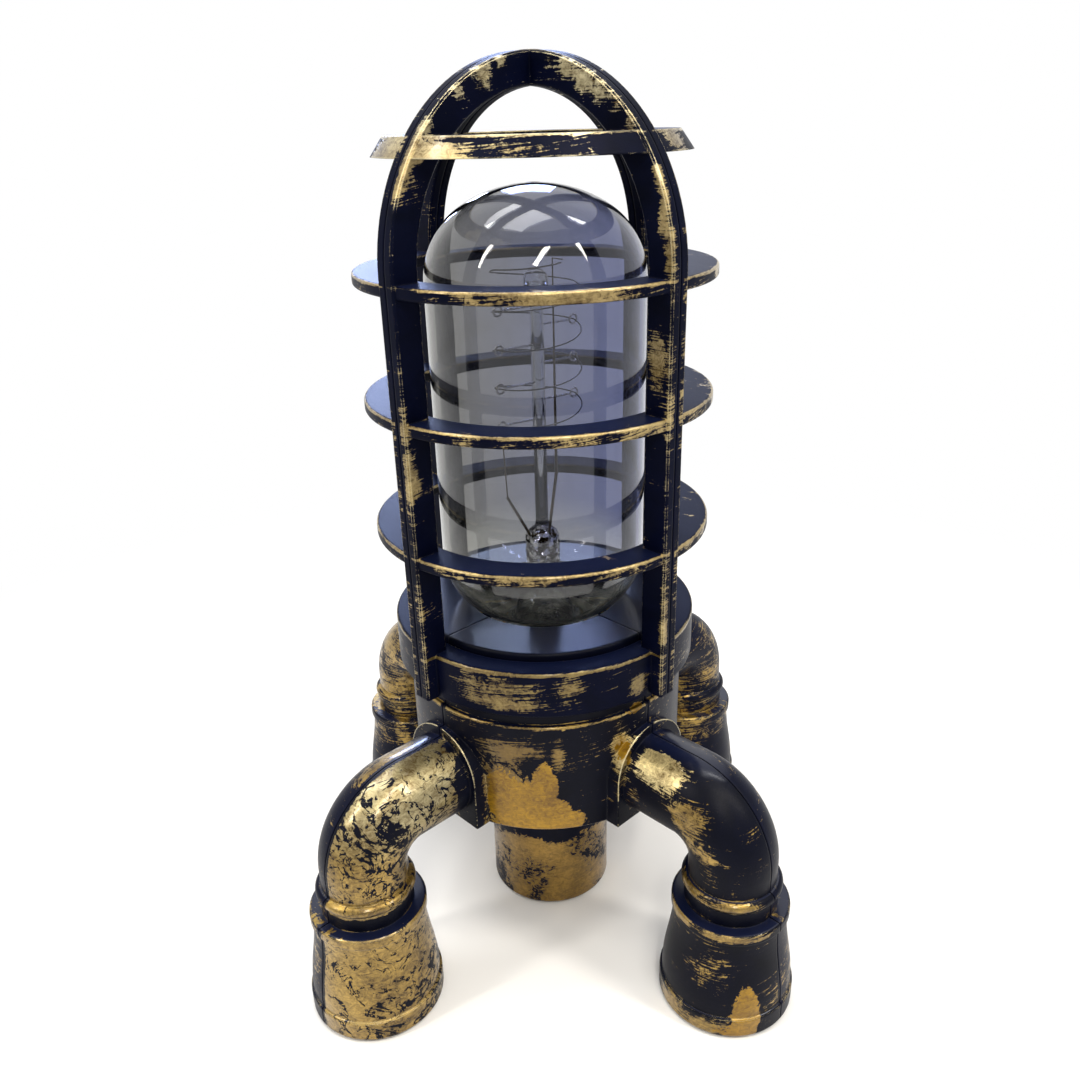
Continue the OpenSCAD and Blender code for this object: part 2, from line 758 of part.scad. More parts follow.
module bulb_tip() {
    color("#c9c8c2") rotate_extrude($fn = 64) polygon([
        [0, tip_z], [tip_r / 2, tip_z], [tip_r - tip_edge, insulator_z - tip_h / 3],
        [tip_r - tip_edge, insulator_z], [0, insulator_z]]);
}

module bulb_stem() {
    flare_r = glass_neck_r - glass_t - pin_clear;
    color(clear_glass, 0.3) rotate_extrude($fn = 64) polygon(concat(
        [[flare_r - glass_t, cap_rim_z], [flare_r, cap_rim_z], [press_r + glass_t, stem_flare_z],
         [press_r, press_foot_z], [press_r, press_z], [rod_r, press_z + press_shoulder],
         [rod_r, button_z - button_r]],
        arc([rod_r, button_z], button_r - rod_r, -90, 90, 8),
        [[0, button_z + button_r - rod_r], [0, press_foot_z], [press_r - glass_t, stem_flare_z]]));
}

// Points in and around the spiral
function polar(r, a, z) = [r * cos(a), r * sin(a), z];
function on_spiral(turn) = polar(spiral_r, spiral_start + 360 * turn, spiral_z + spiral_pitch * turn);
spiral_points = [for (i = [0:spiral_steps * spiral_turns]) on_spiral(i / spiral_steps)];
long_lead_points = [
    polar(press_r / 2, spiral_end, lead_foot_z), polar(lead_r, spiral_end, lead_bend_z),
    polar(lead_r, spiral_end, on_spiral(spiral_turns)[2]), on_spiral(spiral_turns)];

// Least gap between the spiral's turns, measured from each point to those half a turn and more away
spiral_gap = min([for (i = [0:len(spiral_points) - 1], j = [i + spiral_steps / 2:1:len(spiral_points) - 1])
    norm(spiral_points[i] - spiral_points[j])]) - filament_d;
echo(filament_least_gap_mm = spiral_gap);

// A thin tube along points, with its rings turned about a reference direction that the path never follows
function unit(v) = v / norm(v);
function path_way(points, i) = unit(points[min(i + 1, len(points) - 1)] - points[max(i - 1, 0)]);

module tube(points, r, reference) {
    n = len(points);
    s = tube_sides;
    ring_points = [for (i = [0:n - 1], k = [0:s - 1])
        let (way = path_way(points, i), side = unit(cross(reference, way)), b = 360 * k / s)
            points[i] + r * (cos(b) * side + sin(b) * cross(way, side))];
    sides = [for (i = [0:n - 2], k = [0:s - 1], half = [0, 1]) let (m = (k + 1) % s)
        half == 0 ? [i * s + k, (i + 1) * s + m, i * s + m] : [i * s + k, (i + 1) * s + k, (i + 1) * s + m]];
    first_end = [for (k = [1:s - 2]) [0, k, k + 1]];
    last_end = [for (k = [1:s - 2]) [(n - 1) * s, (n - 1) * s + k + 1, (n - 1) * s + k]];
    polyhedron(ring_points, concat(sides, first_end, last_end));
}

module bulb_hooks() {
    start_r = rod_r - wire_d;
    color(steel) for (i = [0:hook_count - 1]) rotate(spiral_start + 180 * i)
        translate([start_r, 0, spiral_z + spiral_pitch * i / 2])
            rotate([0, 90, 0]) cylinder(r = wire_r, h = spiral_r - start_r, $fn = 24);
}

module bulb_leads() {
    short_lead = [polar(press_r / 2, spiral_start, lead_foot_z), on_spiral(0)];
    color(steel) {
        tube(short_lead, wire_r, polar(1, spiral_start + 90, 0));
        tube(long_lead_points, wire_r, polar(1, spiral_end + 90, 0));
    }
}

module bulb_filament() {
    color("#8a8478") tube(spiral_points, filament_d / 2, [0, 0, 1]);
}

base_front();
base_right();
base_rear();
base_left();
cage_front();
cage_right();
cage_rear();
cage_left();
base_dowels();
cage_dowels();
foot_pads();
nozzle();
nozzle_screws();
cord_grommet();
holder_body();
holder_sleeve();
holder_contact();
holder_screws();
terminals();
terminal_screws();
bulb_glass();
bulb_cap();
bulb_insulator();
bulb_tip();
bulb_stem();
bulb_hooks();
bulb_leads();
bulb_filament();
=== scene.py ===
# Rocket-shaped table lamp: painted quarter mouldings, a lampholder and a clear bulb
import math

import bpy
from mathutils import Matrix, Vector


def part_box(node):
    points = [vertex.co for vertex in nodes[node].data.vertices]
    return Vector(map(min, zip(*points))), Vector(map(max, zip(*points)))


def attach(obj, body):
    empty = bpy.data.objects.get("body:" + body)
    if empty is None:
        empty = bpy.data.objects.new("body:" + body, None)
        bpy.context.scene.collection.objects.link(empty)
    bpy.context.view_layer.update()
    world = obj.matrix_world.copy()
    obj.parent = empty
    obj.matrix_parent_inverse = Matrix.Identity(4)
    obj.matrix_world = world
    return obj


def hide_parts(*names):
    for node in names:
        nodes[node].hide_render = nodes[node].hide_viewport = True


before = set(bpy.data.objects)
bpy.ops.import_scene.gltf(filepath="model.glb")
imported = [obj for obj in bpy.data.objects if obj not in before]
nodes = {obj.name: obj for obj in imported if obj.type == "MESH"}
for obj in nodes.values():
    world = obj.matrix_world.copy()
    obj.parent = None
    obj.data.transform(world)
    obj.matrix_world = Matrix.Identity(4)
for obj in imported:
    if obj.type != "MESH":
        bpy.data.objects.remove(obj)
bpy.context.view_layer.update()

# Screws and dowels: zinc-plated steel, rolled or turned, and bought in.
# The dowels are pressed in across the parting lines of the base and the cage, and the screws hold
# the nozzle, the lampholder and the wires of the lead.
MM = 0.001
# Sockets of a Mix node: its share, then what it mixes and what comes out, for colours and for numbers
SHARE = 0
COLOUR_A, COLOUR_B, COLOUR = 6, 7, 2
NUMBER_A, NUMBER_B, NUMBER = 2, 3, 0
# Fine grain of an unpainted surface along x, y and z in millimetres
FINE_GRAIN = (0.3, 0.3, 1.2)


def linear(colour):
    """A linear RGBA colour from an sRGB hex value."""
    parts = [int(colour[i:i + 2], 16) / 255 for i in (1, 3, 5)]
    return [p / 12.92 if p <= 0.04045 else ((p + 0.055) / 1.055) ** 2.4 for p in parts] + [1.0]


def add(tree, kind, inputs=None, **settings):
    """Adds a shader node with its settings, its values and the outputs that feed it."""
    node = tree.nodes.new("ShaderNode" + kind)
    for name, value in settings.items():
        setattr(node, name, value)
    for key, value in (inputs or {}).items():
        if isinstance(value, bpy.types.NodeSocket):
            tree.links.new(value, node.inputs[key])
        else:
            node.inputs[key].default_value = value
    return node


def start_material(name, **values):
    """A new material with its shader's plain values, and the places on the piece in millimetres."""
    material = bpy.data.materials.new(name)
    material.use_nodes = True
    tree = material.node_tree
    tree.nodes.clear()
    shader = add(tree, "BsdfPrincipled")
    for socket, value in values.items():
        shader.inputs[socket.replace("_", " ")].default_value = value
    add(tree, "OutputMaterial", {"Surface": shader.outputs[0]})
    place = add(tree, "TexCoord").outputs["Object"]
    mm = add(tree, "VectorMath", {0: place, "Scale": 1 / MM}, operation="SCALE").outputs[0]
    return material, tree, shader, mm


def feed(tree, shader, **sources):
    """Lets what varies over the piece feed the shader."""
    for socket, source in sources.items():
        tree.links.new(source, shader.inputs[socket.replace("_", " ")])


def marks(tree, mm, size, detail=3.0, rough=0.55, warp=0.0, slope=(0, 0, 0)):
    """Marks of paint, grain or wear, from 0 to 1, that measure size millimetres along x, y and z."""
    laid = add(tree, "Mapping", {"Vector": mm, "Rotation": slope, "Scale": size}, vector_type="TEXTURE")
    return add(tree, "TexNoise", {"Vector": laid.outputs[0], "Scale": 1.0, "Detail": detail,
                                  "Roughness": rough, "Distortion": warp}).outputs[0]


def unpainted(name, dark, light, rough, metal, cloud=3.0, depth=0.03):
    """A plain material, clouded over cloud millimetres from dark to light, with a relief depth millimetres deep.
    Its light clouds are also the smoother ones, as where hands or tools have rubbed it."""
    material, tree, shader, mm = start_material(name, Metallic=metal)
    clouds = marks(tree, mm, (cloud, cloud, cloud), detail=5.0, rough=0.65, warp=0.6)
    grain = marks(tree, mm, FINE_GRAIN)
    colour = add(tree, "Mix", {SHARE: clouds, COLOUR_A: linear(dark), COLOUR_B: linear(light)},
                 data_type="RGBA").outputs[COLOUR]
    worn = add(tree, "MapRange", {"Value": clouds, "To Min": rough + 0.12, "To Max": rough - 0.08}).outputs[0]
    relief = add(tree, "Bump", {"Height": grain, "Strength": 0.5, "Distance": depth * MM}).outputs[0]
    feed(tree, shader, Base_Color=colour, Roughness=worn, Normal=relief)
    return material


def dress(material, *names):
    """Gives a finish to nodes whose shape stays."""
    for name in names:
        nodes[name].data.materials.clear()
        nodes[name].data.materials.append(material)


# Zinc plate gives a cool grey shine, clouded and a little dull
steel = unpainted("zinc_steel", "#74777b", "#a9abad", rough=0.34, metal=1.0)
dress(steel, "base_dowels", "cage_dowels", "nozzle_screws", "holder_screws", "terminal_screws")

# Nozzle: a moulded ABS tube, closed below, whose hidden flange clamps the four floors of the base.
# It is gold all over, and the black of the plastic comes through where the paint was dabbed thin.

# The brush's marks along x, y and z in millimetres, and the slopes of its strokes and smears
STROKE = (13, 13, 0.4)
LONG_STROKE = (22, 22, 0.4)
STROKE_SLOPE = (0.12, -0.1, 0)
SMEAR = (6, 6, 1.3)
SMEAR_SLOPE = (0.5, 0.6, 0)
CLOUD = (16, 16, 13)
WRINKLE = (8, 8, 8)
FLECK = (2.2, 2.2, 1.8)
PAINT_GRAIN = (0.4, 0.4, 0.4)
# How far an edge is worn round, how near faces have to be to keep the brush out, and the paint's relief
EDGE_R = 0.8
HOLLOW = 1.2
PAINT_RELIEF = 0.15
# Gold and leaf from thin to thick; a pale gold for edges, partly rubbed paint and partly a painted highlight;
# the plastic's darkest clouds; and a bluer navy for level faces, which is a painted sheen
THIN_GOLD = "#503c16"
THIN_LEAF = "#624506"
THICK_LEAF = "#98730a"
PALE_EDGE_HIGHLIGHT = "#e2d4a8"
DEEP_NAVY = "#010205"
LEVEL_SHEEN_NAVY = "#0c122a"
# Half size of a patch along an axis on which it has no end
ALL_ROUND = 9999


def weighed(tree, level, *fields):
    """Adds fields that run from 0 to 1, each centred on nought and times its gain, to a level."""
    for field, gain in fields:
        centred = add(tree, "Math", {0: field, 1: 0.5}, operation="SUBTRACT").outputs[0]
        level = add(tree, "Math", {0: centred, 1: gain, 2: level}, operation="MULTIPLY_ADD").outputs[0]
    return level


def spread(tree, mm, level, patches):
    """Adds patches of (centre, half sizes, gain), in millimetres, that fade outwards, to a level."""
    for centre, half, gain in patches:
        inside = add(tree, "Mapping", {"Vector": mm, "Location": centre, "Scale": half}, vector_type="TEXTURE")
        near = add(tree, "TexGradient", {"Vector": inside.outputs[0]}, gradient_type="SPHERICAL").outputs["Fac"]
        level = add(tree, "Math", {0: near, 1: gain, 2: level}, operation="MULTIPLY_ADD").outputs[0]
    return level


def edges_for_paint_and_highlight(tree, rounded, face):
    """Where a brush that is drawn over the piece leaves its paint, and a painted highlight lies: on edges that
    look up.
    """
    # An edge shows as the angle between the true face and the rounded one
    alike = add(tree, "VectorMath", {0: rounded, 1: face}, operation="DOT_PRODUCT").outputs["Value"]
    edge = add(tree, "MapRange", {"Value": alike, "From Min": 0.985, "From Max": 0.82}).outputs[0]
    looks_up = add(tree, "SeparateXYZ", {0: rounded}).outputs["Z"]
    looks_up = add(tree, "MapRange", {"Value": looks_up, "From Min": -0.4, "From Max": 0.45,
                                      "To Min": 0.05, "To Max": 1.0}).outputs[0]
    # The brush stays out of a hollow corner, and so does the painted highlight of the edges, where faces near by
    # shut out the light
    brush_and_light_reach = add(tree, "AmbientOcclusion", {"Distance": HOLLOW * MM}, samples=6, only_local=True).outputs["AO"]
    brush_and_light_reach = add(tree, "MapRange", {"Value": brush_and_light_reach, "From Min": 0.75, "From Max": 0.96}).outputs[0]
    for share in (looks_up, brush_and_light_reach):
        edge = add(tree, "Math", {0: edge, 1: share}, operation="MULTIPLY").outputs[0]
    return edge


def gilding(tree, mm, places, wrinkles, clouds, flecks):
    """Gold all over these places, rubbed off in slanting smears, in flecks and along black veins."""
    smears = marks(tree, mm, SMEAR, detail=5.0, rough=0.65, warp=0.8, slope=SMEAR_SLOPE)
    level = weighed(tree, spread(tree, mm, -0.4, places), (smears, 1.3), (flecks, 0.6), (clouds, 0.5))
    # Veins follow the middle of the wrinkles, and are widest in dense clouds
    middle = add(tree, "Math", {0: wrinkles, 1: 0.5}, operation="SUBTRACT").outputs[0]
    middle = add(tree, "Math", {0: middle}, operation="ABSOLUTE").outputs[0]
    vein = add(tree, "MapRange", {"Value": middle, "From Max": 0.035, "To Min": -1.0, "To Max": 0.0}).outputs[0]
    depth = add(tree, "MapRange", {"Value": clouds, "From Min": 0.4, "From Max": 0.62,
                                   "To Min": 0.1, "To Max": 0.7}).outputs[0]
    level = add(tree, "Math", {0: vein, 1: depth, 2: level}, operation="MULTIPLY_ADD").outputs[0]
    return add(tree, "MapRange", {"Value": level, "From Min": -0.02, "From Max": 0.04},
               interpolation_type="SMOOTHSTEP").outputs[0]


def torn_leaf(tree, mm, places, wrinkles, flecks):
    """Thick gold in these places, with a torn outline."""
    level = weighed(tree, spread(tree, mm, -0.4, places), (wrinkles, 0.9), (flecks, 0.6))
    return add(tree, "MapRange", {"Value": level, "From Min": -0.01, "From Max": 0.02},
               interpolation_type="SMOOTHSTEP").outputs[0]


def dry_brushed(name, cover, edge_gain=0.55, stroke_gain=1.2, cloud_gain=1.0, fleck_gain=0.8, parted=True,
                rim=None, top_gain=0.0, top_shine=0.0, polish=0.08, body="#080d28", light_gold="#a28540",
                patches=(), gilded=(), leaf=(), tints=()):
    """Navy-black moulded ABS, which gives a satin, nearly black blue, with gold paint brushed on almost dry.
    The paint catches on edges that look up, drags out in level strokes and breaks up into flecks, but stays
    out of the parting lines. Patches are brushed more, or with a minus less. Gilded places are gold all over,
    and leaf lies on thick. Tints are (centre, half sizes, colour), where the gold is lighter or darker. Rim is
    (radius, gain), for faces further out than that, and top_gain and top_shine are for the paint and the gloss
    of level faces."""
    material, tree, shader, mm = start_material(name, Specular_IOR_Level=polish, Coat_Roughness=0.17)
    strokes = marks(tree, mm, STROKE, detail=5.0, rough=0.62, warp=0.5, slope=STROKE_SLOPE)
    long_strokes = marks(tree, mm, LONG_STROKE, detail=2.0, rough=0.5, warp=0.3, slope=STROKE_SLOPE)
    clouds = marks(tree, mm, CLOUD, rough=0.6, warp=0.6)
    wrinkles = marks(tree, mm, WRINKLE, detail=4.0, rough=0.6, warp=1.0)
    flecks = marks(tree, mm, FLECK, detail=6.0, rough=0.7, warp=1.4)
    grain = marks(tree, mm, PAINT_GRAIN, detail=2.0, rough=0.5)
    rounded = add(tree, "Bevel", {"Radius": EDGE_R * MM}, samples=6).outputs[0]
    face = add(tree, "NewGeometry").outputs["Normal"]
    edge = edges_for_paint_and_highlight(tree, rounded, face)
    flat = add(tree, "SeparateXYZ", {0: face}).outputs["Z"]
    flat = add(tree, "MapRange", {"Value": flat, "From Min": 0.9, "From Max": 0.995}).outputs[0]
    split = add(tree, "SeparateXYZ", {0: mm})
    x = add(tree, "Math", {0: split.outputs["X"]}, operation="ABSOLUTE").outputs[0]
    y = add(tree, "Math", {0: split.outputs["Y"]}, operation="ABSOLUTE").outputs[0]

    # Gold lies where all that helps or hinders the brush adds up to more than nought
    level = add(tree, "Math", {0: edge, 1: edge_gain, 2: cover}, operation="MULTIPLY_ADD").outputs[0]
    level = weighed(tree, level, (strokes, stroke_gain), (clouds, cloud_gain), (flecks, fleck_gain))
    level = spread(tree, mm, level, patches)
    level = add(tree, "Math", {0: flat, 1: top_gain, 2: level}, operation="MULTIPLY_ADD").outputs[0]
    if rim:
        across = add(tree, "CombineXYZ", {0: x, 1: y}).outputs[0]
        out = add(tree, "VectorMath", {0: across}, operation="LENGTH").outputs["Value"]
        more = add(tree, "MapRange", {"Value": out, "From Min": rim[0] - 0.4, "From Max": rim[0] + 0.4,
                                      "To Min": 0.0, "To Max": rim[1]}).outputs[0]
        level = add(tree, "Math", {0: level, 1: more}, operation="ADD").outputs[0]
    gold = add(tree, "MapRange", {"Value": level, "From Min": -0.03, "From Max": 0.06},
               interpolation_type="SMOOTHSTEP").outputs[0]

    # The gold's tone runs from thin to thick paint, and a tint is full from halfway to its middle
    thick = weighed(tree, flecks, (long_strokes, 0.25), (clouds, 0.8))
    thick = add(tree, "MapRange", {"Value": thick, "From Min": 0.3, "From Max": 0.7}).outputs[0]
    light = linear(light_gold)
    # Some tints are painted highlights, such as those on the tops of the front pipes
    for centre, half, tint in tints:
        near = spread(tree, mm, 0.0, ((centre, half, 2.0),))
        near = add(tree, "Math", {0: near, 1: 1.0}, operation="MINIMUM").outputs[0]
        light = add(tree, "Mix", {SHARE: near, COLOUR_A: light, COLOUR_B: linear(tint)},
                    data_type="RGBA").outputs[COLOUR]
    gilt = add(tree, "Mix", {SHARE: thick, COLOUR_A: linear(THIN_GOLD), COLOUR_B: light},
               data_type="RGBA").outputs[COLOUR]
    if gilded:
        all_over = gilding(tree, mm, gilded, wrinkles, clouds, flecks)
        gold = add(tree, "Math", {0: gold, 1: all_over}, operation="MAXIMUM").outputs[0]
    if leaf:
        torn = torn_leaf(tree, mm, leaf, wrinkles, flecks)
        gold = add(tree, "Math", {0: gold, 1: torn}, operation="MAXIMUM").outputs[0]
        laid = add(tree, "Mix", {SHARE: thick, COLOUR_A: linear(THIN_LEAF), COLOUR_B: linear(THICK_LEAF)},
                   data_type="RGBA").outputs[COLOUR]
        gilt = add(tree, "Mix", {SHARE: torn, COLOUR_A: gilt, COLOUR_B: laid},
                   data_type="RGBA").outputs[COLOUR]
    if parted:
        # The parting lines run where x and y are alike, and about 1.5 mm on either side stays bare
        apart = add(tree, "Math", {0: x, 1: y}, operation="SUBTRACT").outputs[0]
        apart = add(tree, "Math", {0: apart}, operation="ABSOLUTE").outputs[0]
        kept = add(tree, "MapRange", {"Value": weighed(tree, apart, (flecks, 3.0)),
                                      "From Min": 1.4, "From Max": 1.9}).outputs[0]
        gold = add(tree, "Math", {0: gold, 1: kept}, operation="MULTIPLY").outputs[0]
    # Edges turn a pale gold: partly rubbed paint, partly a painted highlight
    rubbed = add(tree, "MapRange", {"Value": edge, "From Max": 0.6}).outputs[0]
    gilt = add(tree, "Mix", {SHARE: rubbed, COLOUR_A: gilt, COLOUR_B: linear(PALE_EDGE_HIGHLIGHT)},
               data_type="RGBA").outputs[COLOUR]
    navy = add(tree, "Mix", {SHARE: clouds, COLOUR_A: linear(DEEP_NAVY), COLOUR_B: linear(body)},
               data_type="RGBA").outputs[COLOUR]
    # Level faces get a bluer navy, which is a painted sheen
    navy = add(tree, "Mix", {SHARE: flat, COLOUR_A: navy, COLOUR_B: linear(LEVEL_SHEEN_NAVY)},
               data_type="RGBA").outputs[COLOUR]
    colour = add(tree, "Mix", {SHARE: gold, COLOUR_A: navy, COLOUR_B: gilt}, data_type="RGBA").outputs[COLOUR]

    # Bare plastic is satin, and glossy on level faces, while gold shines as metal under a thin lacquer
    satin = add(tree, "MapRange", {"Value": grain, "To Min": 0.3, "To Max": 0.46}).outputs[0]
    shine = add(tree, "MapRange", {"Value": flecks, "To Min": 0.46, "To Max": 0.24}).outputs[0]
    rough = add(tree, "Mix", {SHARE: gold, NUMBER_A: satin, NUMBER_B: shine}, data_type="FLOAT").outputs[NUMBER]
    metal = add(tree, "Math", {0: gold, 1: 0.8}, operation="MULTIPLY").outputs[0]
    gloss = add(tree, "Math", {0: flat, 1: top_shine}, operation="MULTIPLY").outputs[0]
    lacquer = add(tree, "Mix", {SHARE: gold, NUMBER_A: gloss, NUMBER_B: 0.65}, data_type="FLOAT").outputs[NUMBER]
    coats = weighed(tree, gold, (grain, 0.5), (long_strokes, 0.2))
    relief = add(tree, "Bump", {"Height": coats, "Strength": 0.4, "Distance": PAINT_RELIEF * MM,
                                "Normal": rounded}).outputs[0]
    feed(tree, shader, Base_Color=colour, Roughness=rough, Metallic=metal, Normal=relief, Coat_Weight=lacquer)
    return material


# Dabbed paint gives a mottled, half-bright gold, and the collar under the drum stays bare
COLLAR_MIDDLE = 40
bare_collar = (((0, 0, COLLAR_MIDDLE), (ALL_ROUND, ALL_ROUND, 13), -1.5),)
gilt_tube = dry_brushed("gilt_abs_nozzle", cover=0.14, edge_gain=0.2, stroke_gain=0.3, cloud_gain=1.6,
                        fleck_gain=1.4, parted=False, light_gold="#94732e", patches=bare_collar)
dress(gilt_tube, "nozzle")

# Base: four quarter mouldings of ABS, each a quarter of the drum and half of two elbow legs.
# They are parted along the middle of the legs and held by dowels and by the nozzle's screws.
# Places of the paint are (centre, half sizes, gain or colour), in millimetres from the lamp's foot.
DRUM_TOP = 92.4
GROOVE_MIDDLE = 96.2
bare_deck = ((0, 0, 116), (80, 80, 6), -1.6)
bare_groove = ((0, 0, GROOVE_MIDDLE), (ALL_ROUND, ALL_ROUND, 3.6), -1.6)
drum_edge = ((0, 0, DRUM_TOP - 0.4), (ALL_ROUND, ALL_ROUND, 0.9), 0.4)
gilded_leg = (
    ((-62, -66, 38), (70, 70, 115), 0.85),       # left leg
    ((-38, -46, 78), (18, 18, 18), 0.5),         # its start at the drum
    ((-50, -64, 62), (24, 24, 24), -0.15),       # worn on the bend
    ((-56, -56, 40.2), (27, 27, 3.8), -2.6),     # bare on the neck and shoulder of its foot
    ((-14, -43, 70), (16, 12, 20), 0.6),         # drum, round the leaf
    ((-24, -42.5, 68), (5, 5, 26), -1.6),        # bare on the face of the left boss
)
front_leaf = (
    ((-3, -45, 60), (12, 10, 20), 0.95),         # drum, with a peak
    ((6, -45, 56), (10, 10, 10), 0.8),
    ((0, -45, 72), (5, 8, 14), 0.75),
    ((-12, -43.5, 60), (9, 8, 22), 0.9),         # and a lower one on its left
    ((-16, -42, 67), (6, 6, 13), 0.55),
    ((24, -39, 80), (5, 5, 10), 0.8),            # edge of the right boss
    ((28, -34, 92), (7, 6, 2.5), 0.8),           # edge of the drum
    ((59, -76, 10), (7, 9, 15), 1.0),            # front of the right foot
    ((52, -76, 3), (12, 8, 5), 0.6),
)
front_patches = (
    bare_deck,
    bare_groove,
    drum_edge,
    ((-12, -43, 83), (18, 10, 7), 0.58),         # strokes above the leaf
    ((4, -45, 82), (3, 6, 8), 0.5),
    ((23, -41, 80), (4, 8, 13), 0.6),            # edge of the right boss
    ((35, -47, 79), (13, 10, 9), 0.95),          # top, underside and inner bend of the right pipe
    ((41, -57, 71), (14, 8, 6), 0.5),
    ((44, -60, 66), (10, 8, 14), 0.4),
    ((47, -65, 55), (6, 6, 12), 0.3),
    ((53, -72, 46), (14, 9, 3), 0.75),           # bead of the right foot
    ((42, -61, 46.5), (6, 9, 3), 0.75),
    ((54, -73.5, 37), (16, 8, 2), 0.9),          # its shoulder
    ((40, -63, 37.2), (6, 10, 2), 0.75),
    ((46, -71, 28), (16, 8, 14), 0.1),           # its side
    ((52, -75, 4), (14, 8, 5), 0.4),             # its rim
    ((45, -73, 2.5), (8, 6, 4.5), 0.55),
    ((38, -66, 4.5), (8, 10, 5), 0.65),
    ((-54, -73.5, 37.4), (18, 8, 2), 0.9),       # shoulder of the left foot
    ((-40, -63, 37.4), (6, 10, 2), 0.75),
)
# The tops of both front pipes are painted highlights: silvery on the left, pale gold on the right
front_tints_and_highlights = (
    ((-12, -43, 83), (24, 14, 14), "#6a531f"),   # strokes on the drum
    ((-46, -50, 78), (34, 34, 22), "#aa9e76"),   # top of the left pipe
    ((33, -45, 82), (18, 18, 15), "#f0dca0"),    # top of the right pipe
)
side_patches = (
    bare_deck,
    bare_groove,
    drum_edge,
    ((8, 44, 70), (16, 12, 14), 0.7),            # back of the drum
    ((52, 58, 50), (30, 30, 40), 0.3),           # legs at the back
    ((-52, 60, 50), (30, 30, 60), 0.7),
    ((-43, -40, 82), (9, 9, 7), 0.7),            # top of the left pipe
    ((-51, -48, 80), (9, 9, 7), 0.6),
)
# The front quarter is nearly black, with one leg gold all over and torn leaf on the drum
front_finish = dry_brushed("painted_abs_base_front", cover=-0.26, edge_gain=0.48, top_gain=-0.6,
                           top_shine=0.9, body="#090c1e", patches=front_patches, gilded=gilded_leg,
                           leaf=front_leaf, tints=front_tints_and_highlights)
dress(front_finish, "base_front")
# The other quarters are bluer and streaked with level strokes
side_finish = dry_brushed("painted_abs_base", cover=-0.2, top_shine=0.9, patches=side_patches)
dress(side_finish, "base_right", "base_rear", "base_left")

# Pads and grommet: moulded black rubber.
# The pads are glued under the feet, and the grommet is pressed into the hole for the lead.

# Rubber gives a dull near-black with a fine grain
rubber = unpainted("black_rubber", "#121212", "#232323", rough=0.78, metal=0.0, depth=0.08)
dress(rubber, "foot_pads", "cord_grommet")

# Lampholder: a porcelain body, screwed to the nozzle's flange, with a threaded brass sleeve.
# A sprung contact meets the bulb's tip, and two terminals take the wires of the lead.

# Glazed porcelain gives a warm white with sharp highlights
porcelain = unpainted("porcelain", "#d9d4c6", "#efece2", rough=0.2, metal=0.0, cloud=8.0, depth=0.02)
dress(porcelain, "holder_body")
# Rolled brass gives a warm yellow shine, spotted where it has darkened
brass = unpainted("brass", "#8a6a2c", "#c49f58", rough=0.32, metal=1.0)
dress(brass, "holder_sleeve", "holder_contact", "terminals")

# Bulb cap: a rolled nickel-plated sleeve, cemented to the neck of the glass.
# A black glass insulator closes it below, and the tip is a drop of solder.

# Nickel plate gives a bright, warm grey
nickel_plate = unpainted("nickel_plate", "#8f8c86", "#c2bfb8", rough=0.26, metal=1.0)
dress(nickel_plate, "bulb_cap")
# Cast glass gives a deep black gloss
black_glass = unpainted("black_glass", "#08080a", "#141418", rough=0.12, metal=0.0)
dress(black_glass, "bulb_insulator")
# Solder gives a dull silver
solder = unpainted("solder", "#8b8c8e", "#b9babb", rough=0.4, metal=1.0)
dress(solder, "bulb_tip")

# Bulb stem: a glass flare sealed to the neck, drawn up into a pinched press, a rod and a button.
# The leads pass through the press, and the hooks are set into the rod, which is drawn hollow.
stem_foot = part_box("bulb_stem")[0].z / MM
stem_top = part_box("bulb_stem")[1].z / MM
FLARE_R = 10.7
FLARE_WALL = 1.0
FLARE_BEND_R = 14
FLARE_BEND_Z = stem_foot + 16
FLARE_ROOF = stem_foot + 20
PRESS_R = 5.5
PRESS_TOP = stem_foot + 32
PRESS_H = 14
ROD_R = 2.0
BORE_R = 1.2
BORE_FOOT = PRESS_TOP + 3
BORE_TOP = stem_top - 5
BUTTON_R = 3.7


def lathe(name, outline, sides):
    """A turned piece: a ring of points drawn out along its outline of (radius, height) in millimetres."""
    pole = 0.01
    smooth_under = 40
    rings = [(max(radius, pole), height) for radius, height in outline]
    first_radius, first_height = rings[0]
    bpy.ops.object.select_all(action="DESELECT")
    bpy.ops.mesh.primitive_circle_add(vertices=sides, radius=first_radius * MM,
                                      location=(0, 0, first_height * MM))
    piece = bpy.context.object
    piece.name = name
    bpy.ops.object.transform_apply(location=True)
    bpy.ops.object.mode_set(mode="EDIT")
    bpy.ops.mesh.select_all(action="SELECT")
    for (radius, height), (next_radius, next_height) in zip(rings, rings[1:]):
        rise = (0, 0, (next_height - height) * MM)
        grow = next_radius / radius
        bpy.ops.mesh.extrude_region_move(TRANSFORM_OT_translate={"value": rise})
        bpy.ops.transform.resize(value=(grow, grow, 1), center_override=(0, 0, next_height * MM))
    bpy.ops.mesh.select_all(action="SELECT")
    bpy.ops.mesh.remove_doubles(threshold=2 * pole * MM)
    bpy.ops.mesh.normals_make_consistent(inside=False)
    bpy.ops.object.mode_set(mode="OBJECT")
    bpy.ops.object.shade_smooth_by_angle(angle=math.radians(smooth_under))
    return piece


def arc(centre, radius, start, end, steps):
    """Places along an arc in the outline's plane, its angles in degrees."""
    turns = [math.radians(start + (end - start) * step / steps) for step in range(steps + 1)]
    return [(centre[0] + radius * math.cos(t), centre[1] + radius * math.sin(t)) for t in turns]


def take_place(piece, node, body, material):
    """Lets a finished piece stand for a CAD node and move with its body."""
    piece.data.materials.clear()
    piece.data.materials.append(material)
    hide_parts(node)
    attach(piece, body)


